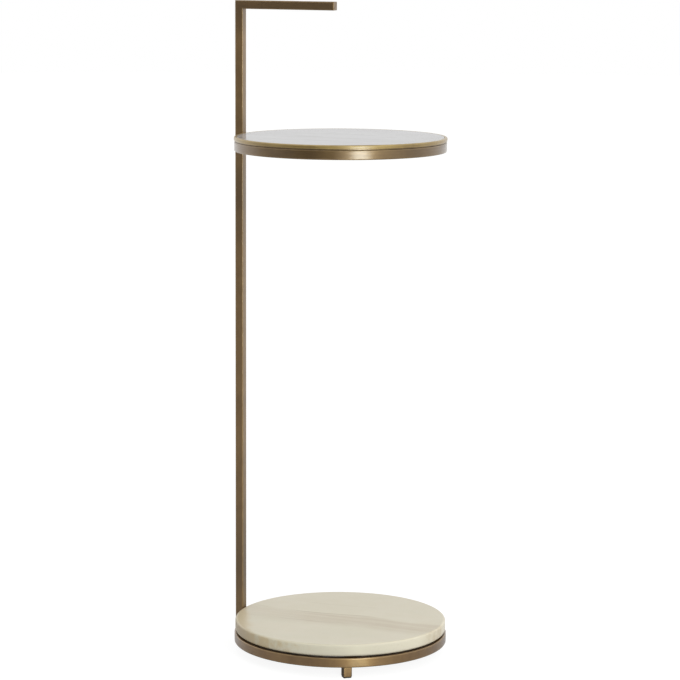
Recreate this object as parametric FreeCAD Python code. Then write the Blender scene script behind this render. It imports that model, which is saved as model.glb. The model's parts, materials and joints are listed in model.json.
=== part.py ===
"""Wine table: a slim square-bar post with a grip at its top, carrying a round stone tray above a round stone base.

Millimetres, +Z up, floor at z = 0. The post stands at -X and the grip points along +X. The origin is the
middle of the footprint's box, on the floor.
"""
import FreeCAD
import Part
from FreeCAD import Placement, Rotation, Vector

import os
from math import cos, radians, sin, sqrt

# Frame of square bar
table_height = 762.0  # floor to the top of the grip
bar = 10.0  # side of the square bar that the post, grip and feet are cut from
ring_height = 11.0  # height of the rings' bar, which is as wide as the post's
bar_arris = 0.6  # how far the bar's long edges are eased off
end_arris = 0.4  # the same round the grip's free end
grip_length = 125.0  # post's outer face to the grip's free end
base_ring_diameter = 250.0
tray_ring_diameter = 245.0

# Feet
foot_height = 12.5  # floor to the underside of the base ring
foot_angle = 117.0  # degrees round the ring from the post to each foot
foot_turn = 15.0  # degrees that a foot's faces are turned from square to the ring, away from the post
pad_thickness = 1.5
pad_margin = 0.4  # how far a pad stays inside the outline of what it is stuck to

# Base slab
base_stone_setback = 1.0  # how far the slab's edge stays inside the base ring's outer face
base_stone_thickness = 14.0
base_stone_top_arris = 2.0
base_stone_bottom_arris = 2.4
spacer_height = 1.6  # the shadow gap between ring and slab
spacer_diameter = 14.0

# Tray
tray_height = 608.0  # floor to the tray's stone
edge_band_height = 4.3
edge_band_overhang = 0.5  # how far the band stands out past the tray ring
edge_band_seat = 1.6  # how far the band reaches in over the tray plate
edge_band_arris = 0.5
tray_plate_thickness = 1.2  # also the height of the groove under the band
groove_depth = 1.2  # how far the plate is set back from the tray ring's outer face
tray_stone_joint = 0.3  # open joint between the tray stone and the band

# Lugs inside the rings
lug_angles = (60.0, 180.0, 300.0)  # degrees from +X
lug_names = ("rear", "post", "front")
lug_thickness = 3.0
lug_width = 16.0
lug_reach = 18.0  # from the ring's inner face to the lug's tip
lug_hole_inset = 10.0  # from the ring's inner face to the lug's screw hole
lug_clip = 4.0  # how far the two corners of the tip are cut off

# Fasteners
screw_diameter = 4.0
screw_end_gap = 1.0  # from a screw's tip to the bottom of what it is driven into
head_diameter = 8.0
head_height = 2.6
socket_width = 2.5  # across the flats of the hexagon socket
socket_depth = 1.5
nut_width = 7.0  # across the flats
nut_height = 3.2
insert_diameter = 7.0
insert_length = 9.0

# Clearances
screw_clearance = 0.25  # round a screw where it only passes through
thread_clearance = 0.05  # round a screw's thread, which is drawn as a plain cylinder
insert_clearance = 0.05  # round an insert in its hole
band_clearance = 0.1  # round the post in the nick that the edge band has for it

# Places that follow from the sizes above
base_radius = base_ring_diameter / 2
tray_radius = tray_ring_diameter / 2
base_axis_offset = sqrt(base_radius**2 - (bar / 2) ** 2)  # ring axis to a flat as wide as the bar
tray_axis_offset = sqrt(tray_radius**2 - (bar / 2) ** 2)
band_outer_radius = tray_radius + edge_band_overhang
reach_from_post = max(
    base_axis_offset + base_radius,
    tray_axis_offset + band_outer_radius,
    grip_length - bar,
)
post_outer_x = -(bar + reach_from_post) / 2
post_inner_x = post_outer_x + bar
post_axis_x = post_outer_x + bar / 2
base_axis_x = post_inner_x + base_axis_offset
tray_axis_x = post_inner_x + tray_axis_offset

base_ring_top = foot_height + ring_height
base_stone_bottom = base_ring_top + spacer_height
tray_plate_top = tray_height - edge_band_height
tray_plate_bottom = tray_plate_top - tray_plate_thickness
tray_ring_bottom = tray_plate_bottom - ring_height
tray_lug_top = tray_plate_bottom - nut_height

plate_radius = tray_radius - groove_depth
band_inner_radius = plate_radius - edge_band_seat
tray_stone_radius = band_inner_radius - tray_stone_joint

foot_reach = bar / 2 * (cos(radians(foot_turn)) + sin(radians(foot_turn)))  # middle of a foot to its outer corner
foot_circle = base_radius - foot_reach

UP = Vector(0, 0, 1)
ORIGIN = Vector(0, 0, 0)


def at(angle, radius, axis_x, z):
    """Placement on a circle round an upright axis, turned to face outwards."""
    turn = Rotation(UP, angle)
    return Placement(Vector(axis_x, 0, z) + turn.multVec(Vector(radius, 0, 0)), turn)


def placed(shape, placement):
    moved = shape.copy()
    moved.Placement = placement.multiply(shape.Placement)
    return moved


def polygon_face(points):
    wire = Part.makePolygon([Vector(*p) for p in points] + [Vector(*points[0])])
    return Part.Face(wire)


def eased_section(width, height, ease):
    """Section of bar in the XY plane, centred on the origin, with its corners eased off."""
    x = width / 2
    y = height / 2
    points = [
        (x, ease - y, 0),
        (x, y - ease, 0),
        (x - ease, y, 0),
        (ease - x, y, 0),
        (-x, y - ease, 0),
        (-x, ease - y, 0),
        (ease - x, -y, 0),
        (x - ease, -y, 0),
    ]
    return polygon_face(points)


def square_bar(length):
    """Length of bar standing up from the origin."""
    return eased_section(bar, bar, bar_arris).extrude(Vector(0, 0, length))


def turned(profile, axis_x, z):
    """Solid of revolution: a face in the XZ plane spun about Z, then set on its axis."""
    solid = profile.revolve(ORIGIN, UP, 360)
    return placed(solid, Placement(Vector(axis_x, 0, z), Rotation()))


def disc(radius, height, bottom_arris, top_arris, axis_x, z):
    """Disc whose two rims are eased off."""
    points = [
        (0, 0, 0),
        (radius - bottom_arris, 0, 0),
        (radius, 0, bottom_arris),
        (radius, 0, height - top_arris),
        (radius - top_arris, 0, height),
        (0, 0, height),
    ]
    return turned(polygon_face(points), axis_x, z)


def sleeve(outer_diameter, inner_diameter, height):
    return Part.makeCylinder(outer_diameter / 2, height).cut(Part.makeCylinder(inner_diameter / 2, height))


def hexagon(width, height):
    """Hexagonal prism, width across its flats, standing on the origin."""
    corner = width / sqrt(3)
    points = [(corner * cos(radians(60 * i)), corner * sin(radians(60 * i)), 0) for i in range(6)]
    return polygon_face(points).extrude(Vector(0, 0, height))


def around_lugs(piece, axis_x, ring_radius, z):
    """One copy of a fastener piece at each lug's hole."""
    hole_circle = ring_radius - bar - lug_hole_inset
    copies = [placed(piece, at(angle, hole_circle, axis_x, z)) for angle in lug_angles]
    return Part.makeCompound(copies)


# Post and grip: one bar, mitred at the top corner

def beyond_mitre():
    """Wedge on the grip's side of the 45 degree plane through the top corner."""
    low = table_height - 2 * bar
    points = [
        (post_outer_x, -bar, table_height),
        (post_outer_x + 2 * bar, -bar, low),
        (post_outer_x + 2 * grip_length, -bar, low),
        (post_outer_x + 2 * grip_length, -bar, table_height + bar),
        (post_outer_x, -bar, table_height + bar),
    ]
    return polygon_face(points).extrude(Vector(0, 2 * bar, 0))


def post():
    whole = square_bar(table_height - pad_thickness)
    whole = placed(whole, Placement(Vector(post_axis_x, 0, pad_thickness), Rotation()))
    return whole.cut(beyond_mitre())


def grip():
    along_x = Rotation(Vector(0, 1, 0), 90)
    start = Vector(post_outer_x, 0, table_height - bar / 2)
    whole = placed(square_bar(grip_length), Placement(start, along_x))
    free_end = post_outer_x + grip_length
    rim = [e for e in whole.Edges if abs(e.BoundBox.XMin - free_end) < end_arris / 10]
    return whole.makeChamfer(end_arris, rim).common(beyond_mitre())


def post_room(clearance):
    """Space that the post takes up, with some room round it, for what bears on its inner face."""
    width = bar + 2 * clearance
    return Part.makeBox(width, width, table_height, Vector(post_outer_x - clearance, -width / 2, 0))


# Rings: rolled bar with a flat as wide as the bar where the post is welded on

def ring(radius, axis_x, bottom):
    upright = Rotation(Vector(1, 0, 0), 90)
    middle = Vector(radius - bar / 2, 0, ring_height / 2)
    section = placed(eased_section(bar, ring_height, bar_arris), Placement(middle, upright))
    return turned(section, axis_x, bottom).cut(post_room(0.0))


def lug(radius, axis_x, top, angle):
    """Flat tongue with clipped corners and a screw hole, its root curved to the ring's inner face."""
    inner = radius - bar
    tip = inner - lug_reach
    half = lug_width / 2
    points = [
        (tip, half - lug_clip, 0),
        (tip, lug_clip - half, 0),
        (tip + lug_clip, -half, 0),
        (radius, -half, 0),
        (radius, half, 0),
        (tip + lug_clip, half, 0),
    ]
    tongue = polygon_face(points).extrude(Vector(0, 0, lug_thickness))
    inside_ring = Part.makeCylinder(inner, lug_thickness)
    hole_centre = Vector(inner - lug_hole_inset, 0, 0)
    hole = Part.makeCylinder(screw_diameter / 2 + screw_clearance, lug_thickness, hole_centre)
    return placed(tongue.common(inside_ring).cut(hole), at(angle, 0, axis_x, top - lug_thickness))


# Feet and their pads

def foot(angle, turn):
    seat = at(angle, foot_circle, base_axis_x, pad_thickness)
    return placed(square_bar(foot_height - pad_thickness), seat.multiply(Placement(ORIGIN, Rotation(UP, turn))))


def pad():
    side = bar - 2 * pad_margin
    return eased_section(side, side, bar_arris).extrude(Vector(0, 0, pad_thickness))


def foot_pad(angle, turn):
    seat = at(angle, foot_circle, base_axis_x, 0)
    return placed(pad(), seat.multiply(Placement(ORIGIN, Rotation(UP, turn))))


# Stone slab of the base, with blind holes for its inserts

def base_stone():
    slab = disc(
        base_radius - base_stone_setback,
        base_stone_thickness,
        base_stone_bottom_arris,
        base_stone_top_arris,
        base_axis_x,
        base_stone_bottom,
    )
    hole = Part.makeCylinder(insert_diameter / 2 + insert_clearance, insert_length)
    return slab.cut(around_lugs(hole, base_axis_x, base_radius, base_stone_bottom))


# Tray: plate, edge band and stone

def tray_plate():
    return Part.makeCylinder(plate_radius, tray_plate_thickness, Vector(tray_axis_x, 0, tray_plate_bottom))


def tray_edge_band():
    rim = edge_band_arris
    whole = disc(band_outer_radius, edge_band_height, rim, rim, tray_axis_x, tray_plate_top)
    middle = Part.makeCylinder(band_inner_radius, edge_band_height, Vector(tray_axis_x, 0, tray_plate_top))
    return whole.cut(middle).cut(post_room(band_clearance))


def tray_stone():
    return Part.makeCylinder(tray_stone_radius, edge_band_height, Vector(tray_axis_x, 0, tray_plate_top))


# Fasteners, each drawn with the seat of its screw head or its own underside at the origin

def screw(shank_length):
    """Socket screw with its head hanging below the origin and its shank standing up."""
    shank = Part.makeCylinder(screw_diameter / 2, shank_length)
    head = Part.makeCylinder(head_diameter / 2, head_height, Vector(0, 0, -head_height))
    socket = placed(hexagon(socket_width, socket_depth), Placement(Vector(0, 0, -head_height), Rotation()))
    return head.cut(socket).fuse(shank).removeSplitter()


def spacer():
    return sleeve(spacer_diameter, screw_diameter + 2 * screw_clearance, spacer_height)


def threaded_insert():
    return sleeve(insert_diameter, screw_diameter + 2 * thread_clearance, insert_length)


def nut():
    bore = Part.makeCylinder(screw_diameter / 2 + thread_clearance, nut_height)
    return hexagon(nut_width, nut_height).cut(bore)


def base_fasteners():
    head_seat = base_ring_top - lug_thickness
    tip = base_stone_bottom + insert_length - screw_end_gap
    pieces = {
        "base_spacers": (spacer(), base_ring_top),
        "base_inserts": (threaded_insert(), base_stone_bottom),
        "base_screws": (screw(tip - head_seat), head_seat),
    }
    return {name: around_lugs(piece, base_axis_x, base_radius, z) for name, (piece, z) in pieces.items()}


def tray_fasteners():
    head_seat = tray_lug_top - lug_thickness
    tip = tray_plate_bottom - screw_end_gap
    pieces = {
        "tray_nuts": (nut(), tray_lug_top),
        "tray_screws": (screw(tip - head_seat), head_seat),
    }
    return {name: around_lugs(piece, tray_axis_x, tray_radius, z) for name, (piece, z) in pieces.items()}


def table():
    """Every piece of the table by its name."""
    pieces = {
        "post": post(),
        "grip": grip(),
        "base_ring": ring(base_radius, base_axis_x, foot_height),
        "base_stone": base_stone(),
        "tray_ring": ring(tray_radius, tray_axis_x, tray_ring_bottom),
        "tray_plate": tray_plate(),
        "tray_edge_band": tray_edge_band(),
        "tray_stone": tray_stone(),
        "pad_post": placed(pad(), Placement(Vector(post_axis_x, 0, 0), Rotation())),
    }
    for side, way in (("front", 1), ("rear", -1)):
        angle = 180 + way * foot_angle
        turn = way * foot_turn
        pieces["foot_" + side] = foot(angle, turn)
        pieces["pad_" + side] = foot_pad(angle, turn)
    for name, angle in zip(lug_names, lug_angles):
        pieces["base_lug_" + name] = lug(base_radius, base_axis_x, base_ring_top, angle)
        pieces["tray_lug_" + name] = lug(tray_radius, tray_axis_x, tray_lug_top, angle)
    pieces.update(base_fasteners())
    pieces.update(tray_fasteners())
    return pieces


def main():
    os.makedirs("parts", exist_ok=True)
    for name, shape in table().items():
        shape.exportStep("parts/" + name + ".step")
        box = shape.BoundBox
        size = "%.1f x %.1f x %.1f" % (box.XLength, box.YLength, box.ZLength)
        print(name, len(shape.Solids), "solids,", size, "mm, valid" if shape.isValid() else "mm, NOT VALID")


main()
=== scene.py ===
# %% [markdown]
# A wine table, dressed on its packed frame
#
# The table is a slim upright bar of old brass with a short grip at its top, a small round marble tray
# and a heavy round marble base. The packed model gives every piece its place, in metres, with the
# floor at zero. This lesson models each piece again with the rounded edges and worn finishes that the
# packed solids leave out, and then lights it as a studio would.

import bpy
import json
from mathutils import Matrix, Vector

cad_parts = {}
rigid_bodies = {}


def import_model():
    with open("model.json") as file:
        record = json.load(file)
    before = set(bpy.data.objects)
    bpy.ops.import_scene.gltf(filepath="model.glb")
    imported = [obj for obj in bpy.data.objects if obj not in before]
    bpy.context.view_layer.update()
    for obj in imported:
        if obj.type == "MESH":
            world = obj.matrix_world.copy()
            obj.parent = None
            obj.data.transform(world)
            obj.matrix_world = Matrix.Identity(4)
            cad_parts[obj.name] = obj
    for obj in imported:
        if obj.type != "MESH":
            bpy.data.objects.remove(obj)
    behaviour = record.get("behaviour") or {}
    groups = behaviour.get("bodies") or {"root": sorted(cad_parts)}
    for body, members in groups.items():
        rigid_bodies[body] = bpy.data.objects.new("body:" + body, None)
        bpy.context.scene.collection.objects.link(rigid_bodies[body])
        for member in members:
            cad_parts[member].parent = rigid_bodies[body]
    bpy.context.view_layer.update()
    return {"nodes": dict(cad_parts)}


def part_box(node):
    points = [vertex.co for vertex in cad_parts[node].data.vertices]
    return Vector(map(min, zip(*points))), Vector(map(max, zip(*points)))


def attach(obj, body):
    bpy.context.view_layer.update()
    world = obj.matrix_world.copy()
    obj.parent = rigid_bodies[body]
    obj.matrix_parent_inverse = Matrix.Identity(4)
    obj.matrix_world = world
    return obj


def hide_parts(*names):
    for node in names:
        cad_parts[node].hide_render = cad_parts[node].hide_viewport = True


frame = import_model()

# %% [markdown]
# Tools used all through the lesson
#
# bmesh is Blender's mesh workbench: a shape is built there with operators and handed to an object at
# the end. Sizes are written in millimetres, as a maker would, and turned into metres by one factor.

# %% Workbench
import json
from math import cos, pi, radians, sin

import bmesh
import bpy
from mathutils import Color, Matrix, Vector

mm = 0.001
OUT = Vector((1, 0, 0))
UP = Vector((0, 0, 1))
scene = bpy.context.scene
scene.view_settings.view_transform = "Standard"
print("nodes in the frame:", ", ".join(sorted(frame["nodes"])))

# %% [markdown]
# Where the main pieces are
#
# The post, the two rings and the two stones set everything else out, so their places are read from
# the frame once. Each ring has a narrow flat where the post is welded on, so a ring's width is
# measured across Y, where it is whole, and its axis is one radius in from its far side.

# %% Read the places
post_low, post_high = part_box("post")
grip_low, grip_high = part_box("grip")
bar = post_high.y - post_low.y
post_inner_x = post_high.x


def radius_of(node):
    low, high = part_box(node)
    return (high.y - low.y) / 2


def axis_of(node):
    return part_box(node)[1].x - radius_of(node)


base_axis_x = axis_of("base_stone")
tray_axis_x = axis_of("tray_plate")
print("bar %.1f mm" % (bar / mm))
print("axes at x %.2f mm (base) and %.2f mm (tray)" % (base_axis_x / mm, tray_axis_x / mm))

# %% [markdown]
# Finishing a piece
#
# Every piece ends the same way: doubled points are merged, faces are turned outwards, and the points
# on eased edges are marked with an attribute called rub. Hands and cloths polish edges first, so the
# brass reads that mark to show brighter metal there. An edge that a neighbour covers is never rubbed,
# so it can be named as hidden. The piece then rides on the table's only body and stands in for its
# packed node. Metal and plain pieces are also sorted, because each kind gets its own lamp later.

# %% Hand a mesh to the table
edge_angle = radians(6)
shading_angle = radians(40)
touching = 0.002 * mm
metal_slots = ("antique_brass", "bright_brass", "insert_brass", "plated_steel")
metal_pieces = bpy.data.collections.new("metal_pieces")
plain_pieces = bpy.data.collections.new("plain_pieces")


def mark_rubbed_edges(work, hidden):
    rub = work.verts.layers.float.new("rub")
    for point in work.verts:
        turns = [edge.calc_face_angle(0.0) for edge in point.link_edges if not hidden(edge)]
        point[rub] = 1.0 if max(turns, default=0.0) > edge_angle else 0.0


def close_up(work):
    bmesh.ops.remove_doubles(work, verts=work.verts, dist=touching)
    bmesh.ops.recalc_face_normals(work, faces=work.faces)


def set_in_table(work, name, nodes, slot, finish, hidden=lambda edge: False):
    """Turn a bmesh into a piece of the table that stands for one or more packed nodes."""
    close_up(work)
    mark_rubbed_edges(work, hidden)
    mesh = bpy.data.meshes.new(name)
    work.to_mesh(mesh)
    work.free()
    mesh.shade_smooth()
    mesh.set_sharp_from_angle(angle=shading_angle)
    mesh.materials.append(finish)
    piece = bpy.data.objects.new(name, mesh)
    scene.collection.objects.link(piece)
    kind = metal_pieces if slot in metal_slots else plain_pieces
    kind.objects.link(piece)
    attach(piece, "root")
    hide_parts(*nodes)
    print("%s: %d faces" % (name, len(mesh.polygons)))


print("edges over %.0f degrees count as rubbed" % (edge_angle * 180 / pi))

# %% [markdown]
# Building finishes out of nodes
#
# A finish is a chain of nodes in front of one Principled shader, which the editor would show as boxes
# and wires. A first class keeps the material and adds, sets and wires nodes. A second one adds the
# patterns that brass, marble and rubber are made of. Colours are written from 0 to 255, as on a paint
# chart, and turned into the linear numbers that shaders use.

# %% Node bench
def tone(red, green, blue):
    """A colour from 0 to 255, as linear numbers."""
    plain = Color((red / 255, green / 255, blue / 255)).from_srgb_to_scene_linear()
    return (plain.r, plain.g, plain.b, 1.0)


class NodeBench:
    """A material with helpers that add nodes and wire them up."""

    def __init__(self, name):
        self.material = bpy.data.materials.new(name)
        self.material.use_nodes = True
        self.tree = self.material.node_tree
        self.shader = self.tree.nodes["Principled BSDF"]

    def add(self, kind, **settings):
        node = self.tree.nodes.new("ShaderNode" + kind)
        for name, value in settings.items():
            setattr(node, name, value)
        return node

    def feed(self, value, socket):
        """Wire a socket, or set it to a plain value."""
        if isinstance(value, bpy.types.NodeSocket):
            self.tree.links.new(value, socket)
        else:
            socket.default_value = value

    def adjust(self, node, **values):
        """Feed a node's inputs by their names, with _ for a space."""
        for name, value in values.items():
            self.feed(value, node.inputs[name.replace("_", " ")])
        return node.outputs[0]

    def set(self, **values):
        self.adjust(self.shader, **values)
        return self.material


print("a colour of 128 is %.3f in linear numbers" % tone(128, 128, 128)[0])

# %% [markdown]
# Places, numbers and patterns
#
# Patterns are laid out by Object coordinates, which stay with the piece wherever it is put. Noise
# stretched by a Mapping node gives brush lines and marble layers. Small sums turn patterns into masks
# from 0 to 1, and a mask blends one colour over another.

# %% Patterns
class Finish(NodeBench):
    """A material made of patterns."""

    def place(self):
        return self.add("TexCoord").outputs["Object"]

    def split(self, vector):
        node = self.add("SeparateXYZ")
        self.feed(vector, node.inputs[0])
        return tuple(node.outputs)

    def stretched(self, vector, scale, shift=(0, 0, 0)):
        return self.adjust(self.add("Mapping"), Vector=vector, Location=shift, Scale=scale)

    def noise(self, vector, scale=1.0, detail=2.0, roughness=0.5, distortion=0.0):
        node = self.add("TexNoise")
        self.adjust(node, Vector=vector, Scale=scale, Detail=detail)
        self.adjust(node, Roughness=roughness, Distortion=distortion)
        return node.outputs["Fac"]

    def math(self, operation, first, second=0.5):
        node = self.add("Math", operation=operation)
        self.feed(first, node.inputs[0])
        self.feed(second, node.inputs[1])
        return node.outputs[0]

    def product(self, first, *others):
        for factor in others:
            first = self.math("MULTIPLY", first, factor)
        return first

    def far_from(self, value, middle):
        return self.math("ABSOLUTE", self.math("SUBTRACT", value, middle))

    def between(self, value, low, high, to_low=0.0, to_high=1.0):
        """Spread a stretch of values over another stretch, and stop at its ends."""
        node = self.add("MapRange", interpolation_type="SMOOTHSTEP")
        self.adjust(node, Value=value, From_Min=low, From_Max=high, To_Min=to_low, To_Max=to_high)
        return node.outputs["Result"]

    def blend(self, factor, first, second):
        node = self.add("Mix", data_type="RGBA")
        self.adjust(node, Factor=factor, A=first, B=second)
        return node.outputs["Result"]

    def ramp(self, value, *stops):
        node = self.add("ValToRGB")
        self.feed(value, node.inputs["Fac"])
        steps = node.color_ramp.elements
        steps[0].position, steps[0].color = stops[0]
        steps[1].position, steps[1].color = stops[-1]
        for position, colour in stops[1:-1]:
            steps.new(position).color = colour
        return node.outputs["Color"]

    def bump(self, height, strength, depth):
        return self.adjust(self.add("Bump"), Strength=strength, Distance=depth, Height=height)

    def attribute(self, name):
        return self.add("Attribute", attribute_name=name).outputs["Fac"]


print("pattern helpers:", ", ".join(name for name in vars(Finish) if not name.startswith("_")))

# %% [markdown]
# Brushed brass
#
# The bars are brass that was brushed along its length, darkened and lacquered. The brush lines are
# noise stretched nearly two hundredfold along the bar. On a ring they have to go round, so the noise
# is laid out by angle, distance from the axis and height instead of X, Y and Z. An angle times the
# ring's radius is a length, so the lines come out as long as those on the bars.

# %% Coordinates for brushing
line_pitch = 900.0
line_run = 5.0
ring_radius = 125 * mm


def brushed_along(finish, axis):
    scale = [line_pitch] * 3
    scale["xyz".index(axis)] = line_run
    return finish.stretched(finish.place(), scale)


def brushed_round(finish, axis_x):
    x, y, z = finish.split(finish.stretched(finish.place(), (1, 1, 1), shift=(-axis_x, 0, 0)))
    square = finish.math("ADD", finish.product(x, x), finish.product(y, y))
    joined = finish.add("CombineXYZ")
    finish.feed(finish.product(finish.math("ARCTAN2", y, x), line_run * ring_radius), joined.inputs[0])
    finish.feed(finish.product(finish.math("SQRT", square), line_pitch), joined.inputs[1])
    finish.feed(finish.product(z, line_pitch), joined.inputs[2])
    return joined.outputs[0]


print("brushing: %.1f mm between lines" % (1 / line_pitch / mm))

# %% [markdown]
# Painted shade along the bars
#
# The post and grip have three browner stretches of painted shade: round the top corner where the
# grip meets the post, just under the tray, and just above the base. Each is given by its height and
# by how far it fades out. A noise shifts the heights, so that the stretches have no straight ends.
# The painted shade stops just short of the grip's free end.

# %% Painted shade
painted_shade_tone = tone(110, 86, 53)
painted_shade_stretches = ((755 * mm, 40 * mm), (535 * mm, 75 * mm), (95 * mm, 90 * mm))
painted_shade_drift = 60 * mm


def painted_shade_places(finish):
    """1 where shade is painted on the bar, 0 where it isn't."""
    x, _, z = finish.split(finish.place())
    drift = finish.noise(finish.place(), scale=25.0)
    height = finish.math("ADD", z, finish.product(finish.math("SUBTRACT", drift, 0.5), painted_shade_drift))
    total = 0.0
    for middle, reach in painted_shade_stretches:
        shade_stretch = finish.between(finish.far_from(height, middle), 0.0, reach, 1.0, 0.0)
        total = finish.math("MAXIMUM", shade_stretch, total)
    unshaded_grip_end = finish.between(x, grip_high.x - 2 * mm, grip_high.x - 0.3 * mm, 1.0, 0.0)
    return finish.product(total, unshaded_grip_end)


print("%d browner stretches" % len(painted_shade_stretches))

# %% [markdown]
# The brass itself
#
# Three patina colours lie in soft clouds. Brush lines darken them, and the rub mark lightens them at
# the edges, patchily, through a second noise. The metal is fairly rough, and a clear coat over it is
# the lacquer, which gives the sharper part of each highlight.

# %% Brass recipe
def brushed_brass(name, lines_along, deep, middle, bright, rubbed, dull, lacquer, has_painted_shade=False):
    """Brass from three patina colours, a rubbed colour, and the roughness of metal and lacquer."""
    finish = Finish(name)
    lines = finish.noise(lines_along(finish), detail=3.0, roughness=0.6)
    clouds = finish.noise(finish.place(), scale=34.0, detail=5.0, roughness=0.6, distortion=0.4)
    patina = finish.ramp(clouds, (0.3, deep), (0.5, middle), (0.72, bright))
    if has_painted_shade:
        # Painted shade: the post and grip turn browner round the top corner, just under the tray and just
        # above the base.
        patina = finish.blend(painted_shade_places(finish), patina, painted_shade_tone)
    brushed = finish.blend(finish.between(lines, 0.35, 0.75, 0.0, 0.35), patina, deep)
    smears = finish.between(finish.noise(finish.place(), scale=90.0, detail=3.0), 0.25, 0.7, 0.15, 0.6)
    return finish.set(
        Base_Color=finish.blend(finish.product(finish.attribute("rub"), smears), brushed, rubbed),
        Metallic=1.0,
        Roughness=finish.between(lines, 0.2, 0.8, dull - 0.06, dull + 0.07),
        Normal=finish.bump(lines, 0.1, 0.02 * mm),
        Coat_Weight=1.0,
        Coat_Roughness=lacquer,
        Coat_IOR=1.55,
    )


print("brass recipe ready")

# %% [markdown]
# Four mixtures
#
# Post and grip, feet and base ring, and the tray's ring and plate are old brass of slightly different
# depth, as pieces come out that are darkened in separate lots. The band round the tray is brighter
# and yellower. Each mixture is written down once and used for every piece that shares it.

# %% Brass for each piece
def mixture(deep, middle, bright, rubbed, dull, lacquer):
    colours = dict(deep=tone(*deep), middle=tone(*middle), bright=tone(*bright), rubbed=tone(*rubbed))
    return dict(colours, dull=dull, lacquer=lacquer)


bar_mix = mixture((121, 93, 55), (135, 106, 64), (146, 116, 72), (152, 124, 80), dull=0.46, lacquer=0.3)
old_mix = mixture((120, 91, 54), (134, 104, 64), (145, 115, 73), (160, 131, 87), dull=0.45, lacquer=0.26)
dark_mix = mixture((104, 81, 48), (116, 92, 56), (126, 102, 64), (145, 121, 80), dull=0.44, lacquer=0.24)
band_mix = mixture((142, 117, 66), (159, 134, 78), (172, 147, 90), (188, 165, 107), dull=0.56, lacquer=0.28)


def upright_lines(finish):
    return brushed_along(finish, "z")


def level_lines(finish):
    return brushed_along(finish, "x")


def base_lines(finish):
    return brushed_round(finish, base_axis_x)


def tray_lines(finish):
    return brushed_round(finish, tray_axis_x)


post_brass = brushed_brass("old_brass_upright", upright_lines, **bar_mix, has_painted_shade=True)
grip_brass = brushed_brass("old_brass_level", level_lines, **bar_mix, has_painted_shade=True)
foot_brass = brushed_brass("old_brass_feet", upright_lines, **old_mix)
base_ring_brass = brushed_brass("old_brass_base_ring", base_lines, **old_mix)
tray_ring_brass = brushed_brass("dark_brass_tray_ring", tray_lines, **dark_mix)
band_brass = brushed_brass("bright_brass_band", tray_lines, **band_mix)
print("brass finishes: post, grip, feet, base ring, tray ring, band")

# %% [markdown]
# Lengths of bar
#
# A length of square bar starts as a block, and its long edges are rounded. Insetting the flats leaves
# a narrow margin beside each edge, over which the rubbed look fades out. A face counts as a flat if
# its area is large for its rim, so the thin strips of the rounding itself are left alone.

# %% Bar helpers
bar_arris = 1.0 * mm
rub_margin = 0.9 * mm
arris_steps = 4


def block_between(low, high):
    work = bmesh.new()
    bmesh.ops.create_cube(work, size=1.0)
    bmesh.ops.scale(work, vec=high - low, verts=work.verts)
    bmesh.ops.translate(work, vec=(low + high) / 2, verts=work.verts)
    return work


def ease(work, geometry, arris, steps, affect):
    bmesh.ops.bevel(
        work,
        geom=geometry,
        offset=arris,
        offset_type="OFFSET",
        segments=steps,
        profile=0.5,
        affect=affect,
        material=-1,
        clamp_overlap=True,
    )


def round_edges(work, edges, arris, steps=arris_steps):
    ease(work, edges, arris, steps, "EDGES")


def is_along(edge, direction):
    run = edge.verts[1].co - edge.verts[0].co
    return abs(run.normalized().dot(direction)) > 0.99


def edges_along(work, direction):
    return [edge for edge in work.edges if is_along(edge, direction)]


def leave_margins(work):
    flats = [face for face in work.faces if face.calc_area() > rub_margin * face.calc_perimeter()]
    bmesh.ops.inset_individual(work, faces=flats, thickness=rub_margin, use_even_offset=True)


print("bar edges rounded to %.1f mm" % (bar_arris / mm))

# %% [markdown]
# The mitre
#
# One bar goes up as the post and goes on level as the grip, joined by a 45 degree mitre at the top
# corner. The cut is made last, after rounding and margins, so that the two cut faces meet in one
# clean line. The rim of the cut is named as hidden, or it would shine like a rubbed edge.

# %% Mitre helpers
mitre_corner = Vector((post_low.x, 0, post_high.z))
mitre_normal = Vector((1, 0, 1))


def mitre(work, keep_post):
    """Cut a bar through the table's top corner and close the cut."""
    cut = bmesh.ops.bisect_plane(
        work,
        geom=work.verts[:] + work.edges[:] + work.faces[:],
        plane_co=mitre_corner,
        plane_no=mitre_normal,
        dist=touching,
        clear_outer=keep_post,
        clear_inner=not keep_post,
    )
    rim = [part for part in cut["geom_cut"] if isinstance(part, bmesh.types.BMEdge)]
    bmesh.ops.contextual_create(work, geom=rim)


def on_mitre(edge):
    return all(abs((point.co - mitre_corner).dot(mitre_normal)) < touching for point in edge.verts)


print("mitre at x %.1f mm, z %.1f mm" % (mitre_corner.x / mm, mitre_corner.z / mm))

# %% Post
post = block_between(post_low, post_high)
round_edges(post, edges_along(post, UP), bar_arris)
leave_margins(post)
mitre(post, keep_post=True)
set_in_table(post, "post_bar", ["post"], "antique_brass", post_brass, on_mitre)

# %% Grip
grip = block_between(grip_low, grip_high)
round_edges(grip, edges_along(grip, OUT), bar_arris)
free_end = [e for e in grip.edges if all(abs(v.co.x - grip_high.x) < touching for v in e.verts)]
round_edges(grip, free_end, bar_arris / 2)
leave_margins(grip)
mitre(grip, keep_post=False)
set_in_table(grip, "grip_bar", ["grip"], "antique_brass", grip_brass, on_mitre)

# %% [markdown]
# Turned pieces
#
# Rings, bands and stones are all round, so each is a small outline spun about an upright axis. The
# outline starts as one flat square, stood upright and scaled to the section's size. Its corners are
# rounded, an extra point is set beside each corner for the rubbed margin, and the face is thrown away
# so that only the outline is spun.

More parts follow.
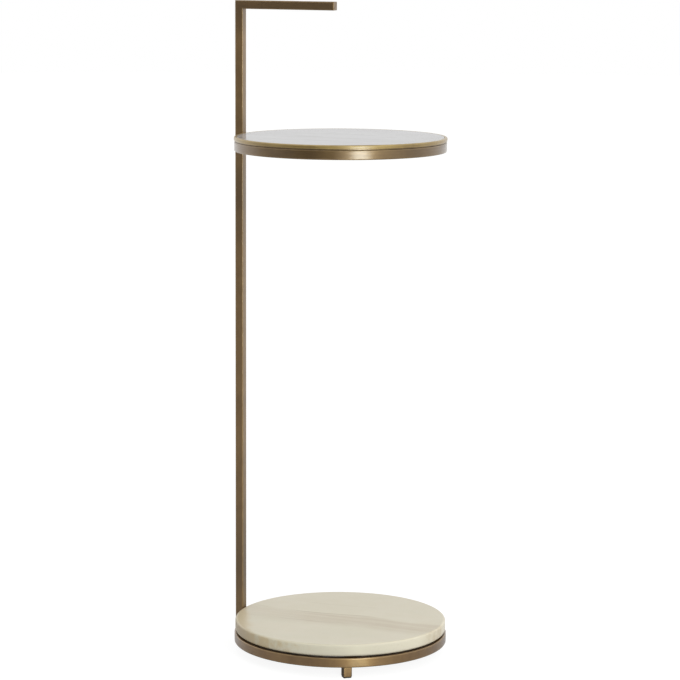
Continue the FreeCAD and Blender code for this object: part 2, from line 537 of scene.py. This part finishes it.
# %% Section helpers
def section(inner, outer, bottom, top):
    """A square face standing in the XZ plane between two distances from the axis."""
    work = bmesh.new()
    bmesh.ops.create_grid(work, x_segments=1, y_segments=1, size=0.5)
    bmesh.ops.rotate(work, cent=(0, 0, 0), matrix=Matrix.Rotation(pi / 2, 3, "X"), verts=work.verts)
    bmesh.ops.scale(work, vec=(outer - inner, 1, top - bottom), verts=work.verts)
    bmesh.ops.translate(work, vec=((inner + outer) / 2, 0, (bottom + top) / 2), verts=work.verts)
    return work


def round_corners(work, arris, keep, steps=arris_steps):
    corners = [point for point in work.verts if keep(point.co)]
    ease(work, corners, arris, steps, "VERTICES")


def split_at(work, geometry, place, direction):
    bmesh.ops.bisect_plane(work, geom=geometry, plane_co=place, plane_no=direction, dist=touching)


def add_points(work, places, direction):
    """Split the outline where it crosses planes at some distances along a direction."""
    for place in places:
        split_at(work, work.verts[:] + work.edges[:], direction * place, direction)


print("corners are rounded in %d steps" % arris_steps)

# %% Turning helpers
around = 288


def drop_faces(work):
    bmesh.ops.delete(work, geom=work.faces[:], context="FACES_ONLY")


def turn_outline(work, axis_x):
    bmesh.ops.translate(work, vec=(axis_x, 0, 0), verts=work.verts)
    bmesh.ops.spin(
        work,
        geom=work.verts[:] + work.edges[:],
        cent=(axis_x, 0, 0),
        axis=UP,
        angle=2 * pi,
        steps=around,
        use_merge=True,
    )
    return work


print("turned pieces have %d steps round" % around)

# %% [markdown]
# Rings
#
# Both rings are the same bar, rolled to a circle. Where the post is welded on, the ring is pressed to
# a narrow flat. A cut could make it too, but it is simpler to move every point that would run into
# the post back to the post's inner face after spinning.

# %% Base ring and tray ring
def rolled_ring(node, axis_x):
    low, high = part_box(node)
    outer = radius_of(node)
    inner = outer - bar
    work = section(inner, outer, low.z, high.z)
    round_corners(work, bar_arris, lambda co: True)
    drop_faces(work)
    edge = bar_arris + rub_margin
    add_points(work, (inner + edge, outer - edge), OUT)
    add_points(work, (low.z + edge, high.z - edge), UP)
    turn_outline(work, axis_x)
    for point in work.verts:
        point.co.x = max(point.co.x, post_inner_x)
    return work


base_ring = rolled_ring("base_ring", base_axis_x)
set_in_table(base_ring, "base_ring_bar", ["base_ring"], "antique_brass", base_ring_brass)
tray_ring = rolled_ring("tray_ring", tray_axis_x)
set_in_table(tray_ring, "tray_ring_bar", ["tray_ring"], "antique_brass", tray_ring_brass)

# %% [markdown]
# Tray plate
#
# Under the tray's stone lies a thin plate, set back so that a dark groove runs round the tray. It is
# a turned disc, as the stones are, so one helper makes all three. The side of the outline that lies
# on the axis is deleted before spinning, since it would only make a needle inside the disc.

# %% Plate
def turned_disc(node, axis_x, top_arris, bottom_arris, steps=arris_steps):
    """A solid disc with its two rims rounded."""
    low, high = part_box(node)
    outer = radius_of(node)
    work = section(0.0, outer, low.z, high.z)
    middle = (low.z + high.z) / 2
    round_corners(work, top_arris, lambda co: co.x > outer / 2 and co.z > middle, steps)
    face = outer - touching
    round_corners(work, bottom_arris, lambda co: co.x > face and co.z < low.z + touching, steps)
    drop_faces(work)
    spindle = [e for e in work.edges if all(abs(v.co.x) < touching for v in e.verts)]
    bmesh.ops.delete(work, geom=spindle, context="EDGES")
    add_points(work, (outer - top_arris - rub_margin,), OUT)
    return turn_outline(work, axis_x)


plate_arris = 0.2 * mm
plate = turned_disc("tray_plate", tray_axis_x, plate_arris, plate_arris)
set_in_table(plate, "tray_plate_sheet", ["tray_plate"], "antique_brass", tray_ring_brass)

# %% [markdown]
# Edge band
#
# The bright band stands on the plate and frames the stone, with its top outer rim rounded most. Where
# it would meet the post it has a shallow nick. The band is split on both sides of the post, twice, a
# hair apart, and the points between are pushed back, so that the nick gets steep walls.

# %% Band
band_top_arris = 1.2 * mm
band_arris = 0.5 * mm
band_inner_arris = 0.15 * mm
stone_joint = 0.3 * mm
band_outer = radius_of("tray_edge_band")
band_low, band_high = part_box("tray_edge_band")
band_inner = radius_of("tray_stone") + stone_joint
band_middle = (band_low.z + band_high.z) / 2
outer_face = band_outer - touching
half_margin = rub_margin / 2

band = section(band_inner, band_outer, band_low.z, band_high.z)
round_corners(band, band_top_arris, lambda co: co.x > outer_face and co.z > band_middle)
round_corners(band, band_arris, lambda co: co.x > outer_face and co.z < band_low.z + touching)
round_corners(band, band_inner_arris, lambda co: co.x < band_inner + touching, 2)
drop_faces(band)
add_points(band, (band_low.z + band_arris + half_margin, band_high.z - band_top_arris - half_margin), UP)
add_points(band, (band_outer - band_top_arris - half_margin,), OUT)
turn_outline(band, tray_axis_x)
print("band %.1f mm wide" % ((band_outer - band_inner) / mm))

# %% Nick for the post
nick_clearance = 0.1 * mm
nick_half = bar / 2 + nick_clearance
nick_wall = 0.02 * mm
for side in (-1, 1):
    for y in (nick_half, nick_half + nick_wall):
        whole = band.verts[:] + band.edges[:] + band.faces[:]
        split_at(band, whole, (0, side * y, 0), (0, 1, 0))
for point in band.verts:
    if abs(point.co.y) < nick_half + nick_wall / 2:
        point.co.x = max(point.co.x, post_inner_x + nick_clearance)
set_in_table(band, "tray_band", ["tray_edge_band"], "bright_brass", band_brass)

# %% [markdown]
# Cream marble
#
# Marble is layered, so most of its patterns are noise drawn out along X, the way the layers run. The
# slab is built up from the broadest pattern to the finest: a cream ground, one warm band, thin veins,
# a tan region at one side, and flecks on the sawn edge. Each pattern is a mask that blends one more
# colour over what lies below. A mask tells the slab's side from its top, and light is painted on the
# side, which is paler than the top: a little at the left end and most at the right.

# %% Ground of the cream marble
slab_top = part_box("base_stone")[1].z


def side_of_slab(finish, height):
    """1 on the slab's side and 0 on its top."""
    return finish.between(height, slab_top - 1.9 * mm, slab_top - 0.1 * mm, 1.0, 0.0)


def cream_ground(finish, place, along, on_side):
    clouds = finish.noise(finish.stretched(place, (7, 16, 16), shift=(3, 1, 0)), detail=3.0)
    greener = tone(221, 212, 188)
    warmer = tone(223, 214, 191)
    duller = tone(220, 212, 188)
    cream = finish.ramp(clouds, (0.35, greener), (0.5, warmer), (0.65, duller))
    # Painted light: the side is painted paler than the top, a little at the left end and most at the right.
    painted_light_on_side = finish.product(finish.between(along, -40 * mm, 50 * mm, 0.1, 0.8), on_side)
    return finish.blend(painted_light_on_side, cream, tone(227, 218, 198))


print("slab top at %.1f mm" % (slab_top / mm))

# %% [markdown]
# Bands and veins
#
# A band is a stretch of distance across the layers, and a vein is a very narrow one. That distance is
# bent by a slow noise, so that both wander in the same way, as they do in a block that was squeezed.
# Streaks inside the band and gaps along the veins keep them from looking drawn.

# %% Band and veins
veins = ((13 * mm, 2.2 * mm, 0.75), (-26 * mm, 2.6 * mm, 0.4), (58 * mm, 1.8 * mm, 0.2))
layer_drift = 40 * mm


def drifting_layer(finish, place, across):
    slow = finish.stretched(place, (9, 4, 4), shift=(5, 0, 2))
    wobble = finish.math("SUBTRACT", finish.noise(slow, detail=1.5, roughness=0.45), 0.5)
    return finish.math("ADD", across, finish.product(wobble, layer_drift))


def warm_band(finish, place, along, layer, cream):
    front = finish.between(layer, -50 * mm, -14 * mm)
    back = finish.between(layer, 4 * mm, 17 * mm, 1.0, 0.0)
    fading = finish.between(along, -90 * mm, -10 * mm, 0.4, 1.0)
    fine = finish.stretched(place, (8, 150, 150), shift=(1, 4, 0))
    streaks = finish.between(finish.noise(fine, detail=4.0, distortion=0.4), 0.25, 0.7, 0.45, 0.95)
    return finish.blend(finish.product(front, back, fading, streaks), cream, tone(204, 190, 164))


def thin_veins(finish, place, layer, cream):
    gaps = finish.noise(finish.stretched(place, (16, 4, 4), shift=(9, 0, 0)))
    unbroken = finish.between(gaps, 0.4, 0.62)
    for middle, width, strength in veins:
        vein = finish.between(finish.far_from(layer, middle), 0.0, width, strength, 0.0)
        cream = finish.blend(finish.product(vein, unbroken), cream, tone(186, 171, 142))
    return cream


print("%d veins" % len(veins))

# %% [markdown]
# Tan region and flecks
#
# Towards the front left the slab was sawn through browner stone. How far a point lies that way
# decides how tan it is, and a mottled noise breaks the border up: a little on the top, a lot on the
# side. Flecks show only where the saw opened the grain, so they stay on the side.

# %% Tan and flecks
tan_way = (-0.891, -0.454, 0)


def tan_region(finish, place, on_side, mottle, cream):
    towards = finish.add("VectorMath", operation="DOT_PRODUCT")
    finish.feed(place, towards.inputs[0])
    finish.feed(tan_way, towards.inputs[1])
    reach = towards.outputs["Value"]
    uneven = finish.math("SUBTRACT", mottle, 0.5)
    tan_top = finish.between(finish.math("ADD", reach, finish.product(uneven, 14 * mm)), 98 * mm, 108 * mm)
    tan_side = finish.between(finish.math("ADD", reach, finish.product(uneven, 170 * mm)), 54 * mm, 98 * mm)
    tan = finish.math("MAXIMUM", finish.product(tan_top, 0.6), finish.product(tan_side, on_side))
    return finish.blend(tan, cream, tone(214, 195, 159))


def flecked_side(finish, along, on_side, flecks, cream):
    plenty = finish.between(along, 70 * mm, 110 * mm, 0.1, 0.22)
    spots = finish.product(finish.between(flecks, 0.58, 0.7, 0.0, 0.6), plenty, on_side)
    return finish.blend(spots, cream, tone(182, 166, 134))


print("tan towards", tan_way)

# %% Cream marble of the base
fleck_scale = 420.0


def base_marble():
    finish = Finish("cream_marble_base")
    place = finish.place()
    along, across, height = finish.split(place)
    on_side = side_of_slab(finish, height)
    layer = drifting_layer(finish, place, across)
    mottle = finish.noise(place, scale=60.0, detail=5.0, roughness=0.62)
    flecks = finish.noise(place, scale=fleck_scale)
    cream = cream_ground(finish, place, along, on_side)
    cream = warm_band(finish, place, along, layer, cream)
    cream = thin_veins(finish, place, layer, cream)
    cream = tan_region(finish, place, on_side, mottle, cream)
    cream = flecked_side(finish, along, on_side, flecks, cream)
    return finish.set(
        Base_Color=cream,
        Roughness=finish.between(mottle, 0.3, 0.7, 0.28, 0.36),
        Specular_IOR_Level=0.35,
        Normal=finish.bump(finish.product(flecks, on_side), 0.06, 0.05 * mm),
    )


base_stone_finish = base_marble()
print("cream marble ready")

# %% [markdown]
# Pale marble
#
# The tray's stone is paler, greyer and polished, so it mirrors the room at a low angle. Its layers
# are the same drawn-out noise, and a vein is the narrow line where a second noise crosses its middle.

# %% Pale polished marble of the tray
def tray_marble():
    finish = Finish("pale_marble_tray")
    place = finish.place()
    layered = finish.stretched(place, (6, 30, 30), shift=(11, 5, 0))
    layers = finish.noise(layered, detail=4.0, roughness=0.55, distortion=0.5)
    light = tone(222, 220, 221)
    middle = tone(212, 210, 211)
    grey = tone(196, 194, 193)
    pale = finish.ramp(layers, (0.3, light), (0.5, middle), (0.7, grey))
    winding = finish.stretched(place, (5, 18, 18), shift=(2, 9, 4))
    ridge = finish.far_from(finish.noise(winding, detail=5.0, roughness=0.6, distortion=0.8), 0.5)
    pale = finish.blend(finish.between(ridge, 0.0, 0.02, 0.4, 0.0), pale, tone(184, 180, 178))
    flecks = finish.noise(place, scale=fleck_scale)
    pale = finish.blend(finish.between(flecks, 0.66, 0.78, 0.0, 0.3), pale, tone(190, 186, 182))
    return finish.set(
        Base_Color=pale,
        Roughness=finish.between(layers, 0.3, 0.7, 0.09, 0.15),
        Specular_IOR_Level=0.35,
    )


tray_stone_finish = tray_marble()
print("pale marble ready")

# %% [markdown]
# Stones
#
# Both stones are turned discs. The base slab is drilled from below for the three threaded sleeves
# that its screws go into. Holes away from the axis can't be turned, so three drills are modelled as
# cylinders and a Boolean modifier takes them away from the disc.

# %% Drills
insert_radius = 3.5 * mm
insert_clearance = 0.05 * mm
insert_low, insert_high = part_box("base_inserts")
hole_angles = (60, 180, 300)
hole_circle = (insert_high.y - insert_radius) / sin(radians(hole_angles[0]))


def slab_drills():
    work = bmesh.new()
    radius = insert_radius + insert_clearance
    for angle in hole_angles:
        across = Matrix.Rotation(radians(angle), 3, "Z") @ Vector((hole_circle, 0, 0))
        bmesh.ops.create_cone(
            work,
            cap_ends=True,
            segments=48,
            radius1=radius,
            radius2=radius,
            depth=2 * (insert_high.z - insert_low.z),
            matrix=Matrix.Translation(across + Vector((base_axis_x, 0, insert_low.z))),
        )
    return work


print("slab holes %.1f mm from the axis" % (hole_circle / mm))

# %% Drilling
def loose_object(work, name):
    mesh = bpy.data.meshes.new(name)
    work.to_mesh(mesh)
    work.free()
    loose = bpy.data.objects.new(name, mesh)
    scene.collection.objects.link(loose)
    return loose


def drilled(work, drills):
    """Take one bmesh away from another with a Boolean modifier."""
    close_up(work)
    blank = loose_object(work, "blank")
    cutter = loose_object(drills, "drills")
    holes = blank.modifiers.new("holes", "BOOLEAN")
    holes.operation = "DIFFERENCE"
    holes.solver = "EXACT"
    holes.object = cutter
    result = bmesh.new()
    result.from_object(blank, bpy.context.evaluated_depsgraph_get())
    for loose in (blank, cutter):
        bpy.data.meshes.remove(loose.data)
    return result


print("drilling ready")

# %% Base slab and tray inlay
base_top_arris = 2.2 * mm
base_bottom_arris = 3.0 * mm
slab = turned_disc("base_stone", base_axis_x, base_top_arris, base_bottom_arris, steps=5)
slab = drilled(slab, slab_drills())
set_in_table(slab, "base_slab", ["base_stone"], "cream_marble", base_stone_finish)

tray_arris = 0.3 * mm
inlay = turned_disc("tray_stone", tray_axis_x, tray_arris, tray_arris, steps=3)
set_in_table(inlay, "tray_inlay", ["tray_stone"], "pale_marble", tray_stone_finish)

# %% [markdown]
# Feet and pads
#
# Two short stubs of the same bar stand under the base ring, and each has a thin dark pad. They aren't
# square to the table, so each is made upright at the origin, turned, and moved to its place. The
# post's own end is the third foot and needs only a pad.

# %% Rubber
def black_rubber():
    finish = Finish("black_rubber")
    grain = finish.noise(finish.place(), scale=1800.0, detail=3.0)
    return finish.set(
        Base_Color=finish.ramp(grain, (0.3, tone(26, 25, 24)), (0.7, tone(44, 42, 40))),
        Roughness=finish.between(grain, 0.3, 0.7, 0.65, 0.85),
        Normal=finish.bump(grain, 0.3, 0.05 * mm),
    )


rubber = black_rubber()
print("rubber ready")

# %% Stubs and pads
foot_turn = radians(42)
pad_margin = 0.4 * mm
pad_width = bar - 2 * pad_margin


def stub(node, width, turn):
    low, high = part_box(node)
    half = Vector((width / 2, width / 2, 0))
    work = block_between(Vector((0, 0, low.z)) - half, Vector((0, 0, high.z)) + half)
    round_edges(work, edges_along(work, UP), bar_arris)
    leave_margins(work)
    bmesh.ops.rotate(work, cent=(0, 0, 0), matrix=Matrix.Rotation(turn, 3, "Z"), verts=work.verts)
    middle = (low + high) / 2
    bmesh.ops.translate(work, vec=(middle.x, middle.y, 0), verts=work.verts)
    return work


for side, turn in (("front", foot_turn), ("rear", -foot_turn)):
    foot = "foot_" + side
    pad = "pad_" + side
    set_in_table(stub(foot, bar, turn), "foot_stub_" + side, [foot], "antique_brass", foot_brass)
    set_in_table(stub(pad, pad_width, turn), "foot_pad_" + side, [pad], "black_rubber", rubber)
set_in_table(stub("pad_post", pad_width, 0.0), "post_pad", ["pad_post"], "black_rubber", rubber)

# %% [markdown]
# Lugs, spacers and fasteners
#
# These sit out of sight under the stones. Their packed solids already have the right shape, so each
# is copied, its loose triangles are merged into whole faces, and its sharp edges are eased a little.
# Screws and nuts are plated steel and the slab's sleeves are plain brass, both clouded by handling.

# %% Plated metal
def plated_metal(name, colour):
    finish = Finish(name)
    grain = finish.noise(finish.place(), scale=900.0, detail=3.0)
    clouds = finish.noise(finish.place(), scale=160.0, detail=3.0)
    return finish.set(
        Base_Color=finish.blend(finish.between(clouds, 0.3, 0.7, 0.0, 0.4), colour, tone(120, 116, 108)),
        Metallic=1.0,
        Roughness=finish.between(grain, 0.3, 0.7, 0.25, 0.4),
        Normal=finish.bump(grain, 0.1, 0.02 * mm),
    )


steel = plated_metal("plated_steel", tone(190, 188, 184))
insert_brass = plated_metal("insert_brass", tone(205, 178, 112))
print("fastener finishes ready")

# %% Eased copies
fine_ease = 0.2 * mm
plain_ease = 0.3 * mm


def eased_copy(node, arris):
    work = bmesh.new()
    work.from_mesh(frame["nodes"][node].data)
    bmesh.ops.remove_doubles(work, verts=work.verts, dist=touching)
    bmesh.ops.dissolve_limit(work, angle_limit=radians(1), verts=work.verts[:], edges=work.edges[:])
    sharp = [e for e in work.edges if e.is_manifold and e.calc_face_angle() > shading_angle]
    round_edges(work, sharp, arris, steps=2)
    return work


for ring, ring_brass in (("base", base_ring_brass), ("tray", tray_ring_brass)):
    for side in ("front", "rear", "post"):
        lug = "%s_lug_%s" % (ring, side)
        set_in_table(eased_copy(lug, plain_ease), lug + "_tongue", [lug], "antique_brass", ring_brass)

fixings = (
    ("base_spacers", "base_spacer_washers", fine_ease, "black_rubber", rubber),
    ("base_inserts", "base_insert_sleeves", fine_ease, "insert_brass", insert_brass),
    ("base_screws", "base_socket_screws", plain_ease, "plated_steel", steel),
    ("tray_screws", "tray_socket_screws", plain_ease, "plated_steel", steel),
    ("tray_nuts", "tray_weld_nuts", plain_ease, "plated_steel", steel),
)
for node, name, arris, slot, finish in fixings:
    set_in_table(eased_copy(node, arris), name, [node], slot, finish)

# %% [markdown]
# White room
#
# The world lights the table evenly, at a level where a colour renders about as it is written. Seen by
# the camera, or mirrored in metal and polished stone, the room is pure white. The floor glows for the
# same rays, so that it joins the white behind it, and still keeps the table's soft shadow.

# %% Room
room_light = 0.68


def seen_directly(tree):
    """1 for rays from the camera, from glossy surfaces and through clear ones."""
    rays = tree.nodes.new("ShaderNodeLightPath")
    total = rays.outputs["Is Camera Ray"]
    for name in ("Is Glossy Ray", "Is Transmission Ray"):
        larger = tree.nodes.new("ShaderNodeMath")
        larger.operation = "MAXIMUM"
        tree.links.new(total, larger.inputs[0])
        tree.links.new(rays.outputs[name], larger.inputs[1])
        total = larger.outputs[0]
    return total


room = bpy.data.worlds.new("white_room")
room.use_nodes = True
scene.world = room
room_tree = room.node_tree
background = room_tree.nodes["Background"]
background.inputs["Color"].default_value = (1, 1, 1, 1)
level = room_tree.nodes.new("ShaderNodeMapRange")
level.inputs["To Min"].default_value = room_light
level.inputs["To Max"].default_value = 1.0
room_tree.links.new(seen_directly(room_tree), level.inputs["Value"])
room_tree.links.new(level.outputs["Result"], background.inputs["Strength"])
print("room light", room_light)

# %% Floor
floor_size = 24.0
floor_glow = 0.9
floor_work = bmesh.new()
bmesh.ops.create_circle(floor_work, cap_ends=True, segments=96, radius=floor_size / 2)
floor_mesh = bpy.data.meshes.new("floor")
floor_work.to_mesh(floor_mesh)
floor_work.free()
floor_finish = Finish("pale_floor")
floor_finish.set(
    Base_Color=tone(125, 125, 125),
    Roughness=0.9,
    Specular_IOR_Level=0.0,
    Emission_Color=(1, 1, 1, 1),
    Emission_Strength=floor_finish.product(seen_directly(floor_finish.tree), floor_glow),
)
floor_mesh.materials.append(floor_finish.material)
floor = bpy.data.objects.new("floor", floor_mesh)
scene.collection.objects.link(floor)
plain_pieces.objects.link(floor)
print("floor %.0f m across" % floor_size)

# %% [markdown]
# Paper and cards
#
# Metal only looks like metal if it has something to reflect. A studio puts grey card round the table
# and grey paper under it, which give the bars their dark and light faces. Here they are sheets that
# only reflections see: they cast no light and no shadow, and the camera looks through them, so every
# view keeps a white background. Each is a line swept round the table, between two angles counted from
# the camera. Distances in the studio are in metres.

# %% Sheet helper
camera_azimuth = radians(23.3795)


def round_the_table(azimuth, distance, height):
    """A place by its angle from the front, its distance and its height."""
    return Vector((sin(azimuth) * distance, -cos(azimuth) * distance, height))


def sheet_mesh(name, start, end, turns):
    first, last = (camera_azimuth + radians(turn) for turn in turns)
    work = bmesh.new()
    ends = [work.verts.new(round_the_table(first, *place)) for place in (start, end)]
    edge = work.edges.new(ends)
    bmesh.ops.spin(work, geom=ends + [edge], cent=(0, 0, 0), axis=UP, angle=last - first, steps=32)
    mesh = bpy.data.meshes.new(name)
    work.to_mesh(mesh)
    work.free()
    return mesh


def reflector(name, start, end, turns, grey, tint=(1, 1, 1, 1)):
    """A plain sheet: a line between two (distance, height) places, swept round the table."""
    mesh = sheet_mesh(name, start, end, turns)
    finish = Finish(name)
    finish.set(Base_Color=(0, 0, 0, 1), Specular_IOR_Level=0.0)
    finish.set(Emission_Color=tint, Emission_Strength=grey)
    mesh.materials.append(finish.material)
    sheet = bpy.data.objects.new(name, mesh)
    sheet.visible_camera = False
    sheet.visible_diffuse = False
    sheet.visible_shadow = False
    scene.collection.objects.link(sheet)
    print("%s from %.0f to %.0f degrees, %.2f grey" % (name, turns[0], turns[1], grey))


print("camera %.1f degrees to the right of the front" % (camera_azimuth * 180 / pi))

# %% Paper under the table
lift = 0.5 * mm
middle_of_floor = 1 * mm
rim = 0.133
near = 0.9
far = 4.3
painted_light_start = 0.168
painted_light_end = 0.6
yellowish = (0.95, 1.0, 0.75, 1)
# Painted shade: a dark disc under the base stands for the table's shadow on the floor, seen only in
# reflections.
reflector("shade_under_base", (middle_of_floor, lift), (rim, lift), (0, 360), 0.12)
reflector("front_paper", (rim, lift), (far, lift), (-97, 90), 0.58)
reflector("near_back_paper", (rim, lift), (near, lift), (90, 263), 0.6)
reflector("far_back_paper", (near, lift), (far, lift), (90, 263), 0.9)
# Painted light: a bright yellowish streak on the paper stands for the soft light's glare on the floor, seen
# only in reflections.
painted_light_patch = ((painted_light_start, 2 * lift), (painted_light_end, 2 * lift))
reflector("light_on_paper", *painted_light_patch, (9, 20), 3.2, tint=yellowish)

# %% Cards and back wall
card_top = 1.9
wall = 11.0
wall_top = 2.1
reflector("left_card", (far, lift), (far, card_top), (-97, -66), 0.6)
reflector("grey_card", (far, lift), (far, card_top), (-66, -50), 0.36)
reflector("back_wall", (wall, lift), (wall, wall_top), (145, 215), 0.75)
reflector("dark_card", (far, lift), (far, card_top), (-50, -3), 0.05)

# %% [markdown]
# Lamps
#
# A soft light to the right of the camera draws the bright patch on each ring. Polished stone would
# mirror that lamp as pure white when seen from behind, so it is built twice, in the same place. A
# short one lights only metal, and its reflection is wanted. A tall one lights stone, rubber and
# floor, and gives no reflection. Light linking, Blender's list of what a lamp reaches, keeps them
# apart. A low fill from the right lights the slab's side.

# %% Lamp helper
def area_lamp(name, azimuth, distance, middle, width, height, watts):
    lamp = bpy.data.lights.new(name, "AREA")
    lamp.shape = "RECTANGLE"
    lamp.size = width
    lamp.size_y = height
    lamp.energy = watts
    light = bpy.data.objects.new(name, lamp)
    light.location = round_the_table(azimuth, distance, middle)
    light.rotation_euler = (pi / 2, 0, azimuth)
    light.visible_camera = False
    scene.collection.objects.link(light)
    print("%s at %.0f degrees, %.1f W" % (name, azimuth * 180 / pi, watts))
    return light


kinds = (len(metal_pieces.objects), len(plain_pieces.objects))
print("to be lit: %d metal pieces, %d plain ones with the floor" % kinds)

# %% Soft light
soft_azimuth = camera_azimuth + radians(21)
soft_distance = 2.6
soft_foot = 0.02
soft_colour = (0.92, 1.0, 0.98)


def soft_light(name, receivers, width, height, watts, shines):
    middle = soft_foot + height / 2
    light = area_lamp(name, soft_azimuth, soft_distance, middle, width, height, watts)
    light.data.color = soft_colour
    light.visible_glossy = shines
    light.light_linking.receiver_collection = receivers


soft_light("soft_light_on_metal", metal_pieces, width=0.72, height=0.8, watts=23.0, shines=True)
soft_light("soft_light_on_stone", plain_pieces, width=0.5, height=2.0, watts=36.0, shines=False)

# %% Low fill light
fill_azimuth = camera_azimuth + radians(95)
fill_size = dict(width=1.6, height=0.7)
low_fill = area_lamp("low_fill", fill_azimuth, distance=2.4, middle=0.4, **fill_size, watts=19.0)
low_fill.visible_glossy = False

# %% [markdown]
# Camera
#
# The camera stands a little above the tray and looks slightly down, from the right of the grip. Its
# place and lens are worked out from how wide the two round stones look and how far their ellipses
# open. A roll of about a quarter of a degree brings the post upright in the picture.

# %% Camera
camera_distance = 3.1183
camera_height = 0.8569
camera_pitch = radians(8.8606)
camera_roll = radians(0.2827)
camera_aside = 2.654 * mm
camera_data = bpy.data.cameras.new("camera")
camera_data.sensor_width = 36.0
camera_data.lens = 143.408
camera = bpy.data.objects.new("camera", camera_data)
aside = Vector((cos(camera_azimuth), sin(camera_azimuth), 0)) * camera_aside
camera.location = round_the_table(camera_azimuth, camera_distance, camera_height) + aside
aim = Matrix.Identity(3)
for angle, axis in ((camera_azimuth, "Z"), (pi / 2 - camera_pitch, "X"), (camera_roll, "Z")):
    aim = aim @ Matrix.Rotation(angle, 3, axis)
camera.rotation_euler = aim.to_euler()
scene.collection.objects.link(camera)
scene.camera = camera
print("camera at", tuple(round(n, 3) for n in camera.location))

# %% [markdown]
# The dressed table must stay inside the packed one's box.
